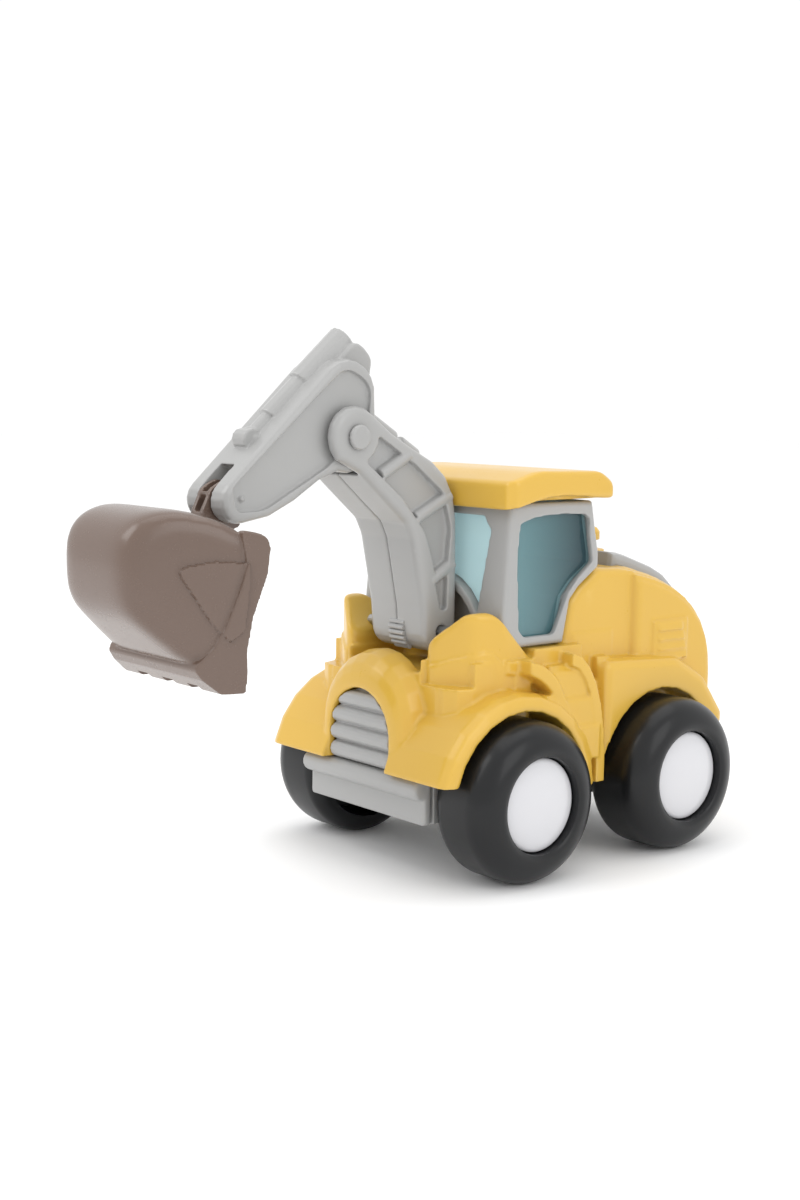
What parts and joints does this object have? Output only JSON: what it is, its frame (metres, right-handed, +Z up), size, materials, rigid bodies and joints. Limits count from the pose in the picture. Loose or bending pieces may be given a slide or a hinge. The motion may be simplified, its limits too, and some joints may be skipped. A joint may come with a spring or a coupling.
{
  "type": "toy excavator",
  "caption": "Chunky push-along toy digger truck with fat freewheeling wheels, a glazed cab and a jointed front arm carrying a flared scoop.",
  "frame": {"origin": "under the middle of the toy's bounding box, on the ground", "axes": "+X towards the truck's left side, -Y towards its front (the arm), +Z up"},
  "size_m": [0.0848, 0.1759, 0.1331],
  "materials": {
    "yellow_plastic": "satin moulded ABS, warm yellow",
    "light_grey_plastic": "satin moulded ABS, light grey",
    "brown_plastic": "satin moulded ABS, warm grey-brown",
    "black_tyre": "smooth hard black plastic, semi-gloss",
    "white_hub": "smooth gloss white",
    "clear_teal": "clear tinted styrene, teal",
    "steel": "plain bright steel"
  },
  "bodies": {
    "truck": {"body_shell": "yellow_plastic", "chassis_base": "light_grey_plastic", "front_bumper": "light_grey_plastic", "grille_insert": "light_grey_plastic", "cab_frame": "light_grey_plastic", "cab_window_insert": "clear_teal", "roof": "yellow_plastic", "engine_cover": "light_grey_plastic", "exhaust_stub": "yellow_plastic", "chassis_screw_1": "steel", "chassis_screw_2": "steel", "chassis_screw_3": "steel", "chassis_screw_4": "steel"},
    "boom": {"boom_left_half": "light_grey_plastic", "boom_right_half": "light_grey_plastic", "boom_base_pin": "steel"},
    "stick": {"stick_housing": "light_grey_plastic", "stick_pin": "light_grey_plastic"},
    "bucket_body": {"bucket": "brown_plastic", "bucket_pin": "steel"},
    "front_wheels": {"front_axle": "steel", "front_left_tyre": "black_tyre", "front_right_tyre": "black_tyre", "front_left_hub_cap": "white_hub", "front_right_hub_cap": "white_hub"},
    "rear_wheels": {"rear_axle": "steel", "rear_left_tyre": "black_tyre", "rear_right_tyre": "black_tyre", "rear_left_hub_cap": "white_hub", "rear_right_hub_cap": "white_hub"}
  },
  "joints": [
    {"name": "boom_pitch", "type": "hinge", "parent": "truck", "child": "boom", "pos_m": [0, 0.0014, 0.0592], "axis": [1, 0, 0], "range_deg": [0, 40]},
    {"name": "stick_pitch", "type": "hinge", "parent": "boom", "child": "stick", "pos_m": [0, -0.0258, 0.1074], "axis": [1, 0, 0], "range_deg": [-15, 20]},
    {"name": "bucket_pitch", "type": "hinge", "parent": "stick", "child": "bucket_body", "pos_m": [0, -0.0568, 0.0929], "axis": [1, 0, 0], "range_deg": [-60, 10]},
    {"name": "front_axle_spin", "type": "hinge", "parent": "truck", "child": "front_wheels", "pos_m": [0, 0.0076, 0.02], "axis": [1, 0, 0], "continuous": true},
    {"name": "rear_axle_spin", "type": "hinge", "parent": "truck", "child": "rear_wheels", "pos_m": [0, 0.0612, 0.02], "axis": [1, 0, 0], "continuous": true}
  ]
}
